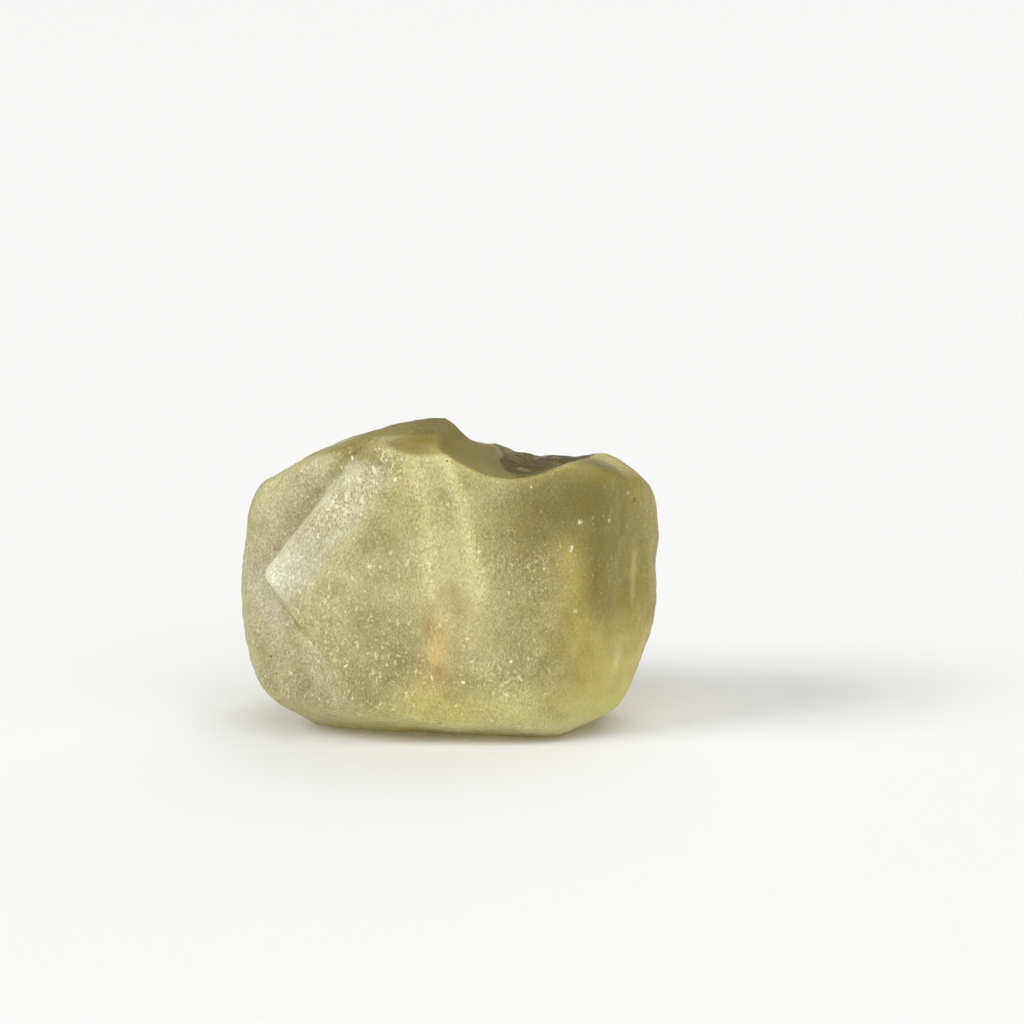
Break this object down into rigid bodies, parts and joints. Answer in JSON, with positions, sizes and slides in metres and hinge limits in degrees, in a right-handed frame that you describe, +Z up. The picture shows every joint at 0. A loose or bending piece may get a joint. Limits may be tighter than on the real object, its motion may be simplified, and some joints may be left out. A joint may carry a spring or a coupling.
{
  "type": "desert glass specimen",
  "caption": "Rounded natural lump of pale yellow desert glass with a stepped front, a trough worn across its top and a flat underside to stand on.",
  "frame": {"origin": "middle of the stone's outline seen from above, at the level of its flat underside", "axes": "+X along the stone's length to the right end of the front, -Y out of the broad front face, +Z up"},
  "size_m": [0.039, 0.0242, 0.0283],
  "materials": {
    "desert_glass": "pale straw-yellow silica glass, milky and translucent, frosted by blown sand in front and smoother on the right"
  },
  "bodies": {
    "root": {"desert_glass": "desert_glass"}
  },
  "joints": []
}
